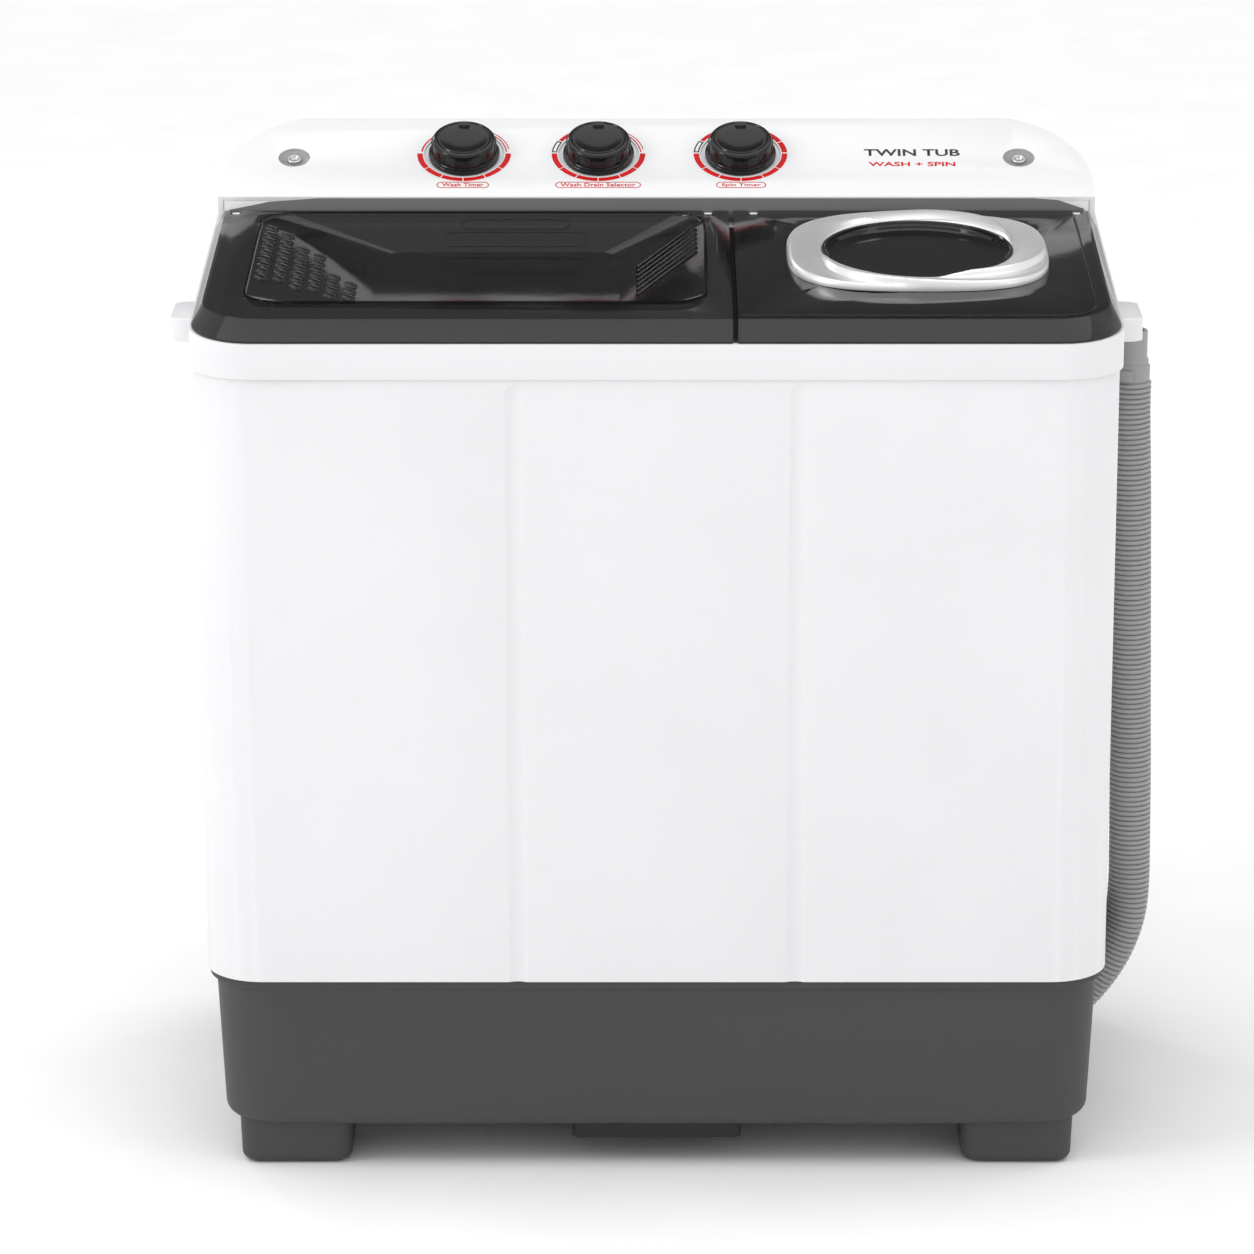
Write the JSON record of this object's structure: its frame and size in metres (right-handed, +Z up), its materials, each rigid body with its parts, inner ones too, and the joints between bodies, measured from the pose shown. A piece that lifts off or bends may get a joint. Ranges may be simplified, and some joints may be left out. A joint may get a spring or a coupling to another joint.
{
  "type": "twin-tub washing machine",
  "caption": "Twin-tub washing machine: wash tub with pulsator and spin dryer side by side, smoked hinged lids, sloping panel with rotary controls, side drain hose.",
  "frame": {"origin": "middle of the rectangle that the machine covers on the floor, at floor level, with its lids shut", "axes": "+X to the right of a person facing the front, +Y to the back, +Z up"},
  "size_m": [0.8105, 0.43, 0.7989],
  "materials": {
    "base_plastic": "fine-grained moulded polypropylene",
    "rubber": "matt",
    "black_plastic": "moulded, semi-matt",
    "white_plastic": "smooth moulded, satin gloss",
    "panel_plastic": "smooth moulded, satin gloss, printed",
    "screw_steel": "plated",
    "tub_plastic": "moulded polypropylene",
    "filter_plastic": "moulded",
    "zinc_steel": "zinc plated",
    "knob_plastic": "polished moulded",
    "smoked_plastic": "clear smoked polystyrene",
    "satin_silver": "satin metallised plastic",
    "pulsator_plastic": "moulded",
    "cast_aluminium": "as cast",
    "black_metal": "powder coated",
    "basket_plastic": "moulded",
    "hose_plastic": "corrugated, semi-matt"
  },
  "bodies": {
    "root": {"base": "base_plastic", "base_legs": "base_plastic", "foot_pads": "rubber", "bottom_cover": "black_plastic", "cabinet": "white_plastic", "top_frame": "white_plastic", "side_handles": "white_plastic", "control_panel": "panel_plastic", "panel_screws": "screw_steel", "rear_cover": "tub_plastic", "wash_tub": "tub_plastic", "spin_tub": "tub_plastic", "filter_duct": "tub_plastic", "inlet_connector": "white_plastic", "inlet_spout": "black_plastic", "wash_timer": "tub_plastic", "drain_selector": "zinc_steel", "spin_timer": "tub_plastic", "pulsator_bearing": "black_plastic", "drive_belt": "rubber", "wash_motor": "cast_aluminium", "wash_motor_bracket": "black_metal", "spin_seal": "rubber", "brake_cable": "black_plastic", "spin_motor": "cast_aluminium", "suspension_springs": "zinc_steel", "cord_gland": "rubber", "drain_valve_body": "tub_plastic", "drain_pipes": "rubber", "drain_elbow": "black_plastic", "capacitors": "tub_plastic", "hose_clip": "white_plastic", "drain_hose": "hose_plastic", "drain_hose_cuff": "hose_plastic"},
    "wash_lid": {"wash_lid": "smoked_plastic", "wash_lid_pins": "zinc_steel"},
    "spin_lid": {"spin_lid": "smoked_plastic", "spin_lid_pins": "zinc_steel", "spin_lid_ring": "satin_silver", "spin_lid_window": "smoked_plastic"},
    "inner_cover": {"spin_inner_cover": "tub_plastic"},
    "wash_timer_control": {"wash_timer_knob": "knob_plastic", "wash_timer_shaft": "zinc_steel"},
    "selector_control": {"selector_knob": "knob_plastic", "selector_shaft": "zinc_steel"},
    "spin_timer_control": {"spin_timer_knob": "knob_plastic", "spin_timer_shaft": "zinc_steel"},
    "drain_plug": {"drain_valve_plug": "rubber"},
    "pulsator_rotor": {"pulsator": "pulsator_plastic", "pulsator_screw": "screw_steel", "pulsator_shaft": "zinc_steel", "pulsator_pulley": "cast_aluminium"},
    "wash_motor_rotor": {"wash_motor_shaft": "zinc_steel", "wash_motor_pulley": "cast_aluminium"},
    "spin_rotor": {"spin_basket": "basket_plastic", "balance_ring": "white_plastic", "spin_shaft": "zinc_steel", "brake_drum": "cast_aluminium"},
    "brake": {"brake_lever": "zinc_steel"},
    "filter": {"lint_filter": "filter_plastic"}
  },
  "joints": [
    {"name": "wash_lid_hinge", "type": "hinge", "parent": "root", "child": "wash_lid", "pos_m": [-0.154, 0.097, 0.73068], "axis": [-1, 0, 0], "range_deg": [0, 95]},
    {"name": "spin_lid_hinge", "type": "hinge", "parent": "root", "child": "spin_lid", "pos_m": [0.216, 0.097, 0.73068], "axis": [-1, 0, 0], "range_deg": [0, 95]},
    {"name": "inner_cover_hinge", "type": "hinge", "parent": "root", "child": "inner_cover", "pos_m": [0.21, 0.079, 0.71535], "axis": [-1, 0, 0], "range_deg": [0, 95]},
    {"name": "wash_timer_turn", "type": "hinge", "parent": "root", "child": "wash_timer_control", "pos_m": [-0.1626, 0.1647, 0.77308], "axis": [0, 0.4045, -0.9145], "range_deg": [0, 300]},
    {"name": "selector_turn", "type": "hinge", "parent": "root", "child": "selector_control", "pos_m": [-0.049, 0.1647, 0.77308], "axis": [0, 0.4045, -0.9145], "range_deg": [0, 90]},
    {"name": "spin_timer_turn", "type": "hinge", "parent": "root", "child": "spin_timer_control", "pos_m": [0.071, 0.1647, 0.77308], "axis": [0, 0.4045, -0.9145], "range_deg": [0, 270]},
    {"name": "drain_plug_lift", "type": "slide", "parent": "root", "child": "drain_plug", "axis": [0, 0, 1], "range_m": [0, 0.012]},
    {"name": "pulsator_spin", "type": "hinge", "parent": "root", "child": "pulsator_rotor", "pos_m": [-0.159, -0.049, 0.3], "axis": [0, 0, 1], "continuous": true},
    {"name": "wash_motor_spin", "type": "hinge", "parent": "root", "child": "wash_motor_rotor", "pos_m": [-0.289, 0.026, 0.214], "axis": [0, 0, 1], "continuous": true},
    {"name": "basket_spin", "type": "hinge", "parent": "root", "child": "spin_rotor", "pos_m": [0.21, -0.049, 0.345], "axis": [0, 0, 1], "continuous": true},
    {"name": "brake_pivot", "type": "hinge", "parent": "root", "child": "brake", "pos_m": [0.267, -0.101, 0.25], "axis": [0, 0, 1], "range_deg": [0, 2.9]},
    {"name": "filter_slide", "type": "slide", "parent": "root", "child": "filter", "axis": [-1, 0, 0], "range_m": [0, 0.04]}
  ],
  "couplings": [
    {"joint": "inner_cover_hinge", "follows": "spin_lid_hinge", "ratio": 1},
    {"joint": "brake_pivot", "follows": "spin_lid_hinge", "ratio": 0.03},
    {"joint": "drain_plug_lift", "follows": "selector_turn", "m_per_rad": 0.0076},
    {"joint": "wash_motor_spin", "follows": "pulsator_spin", "ratio": 4}
  ]
}
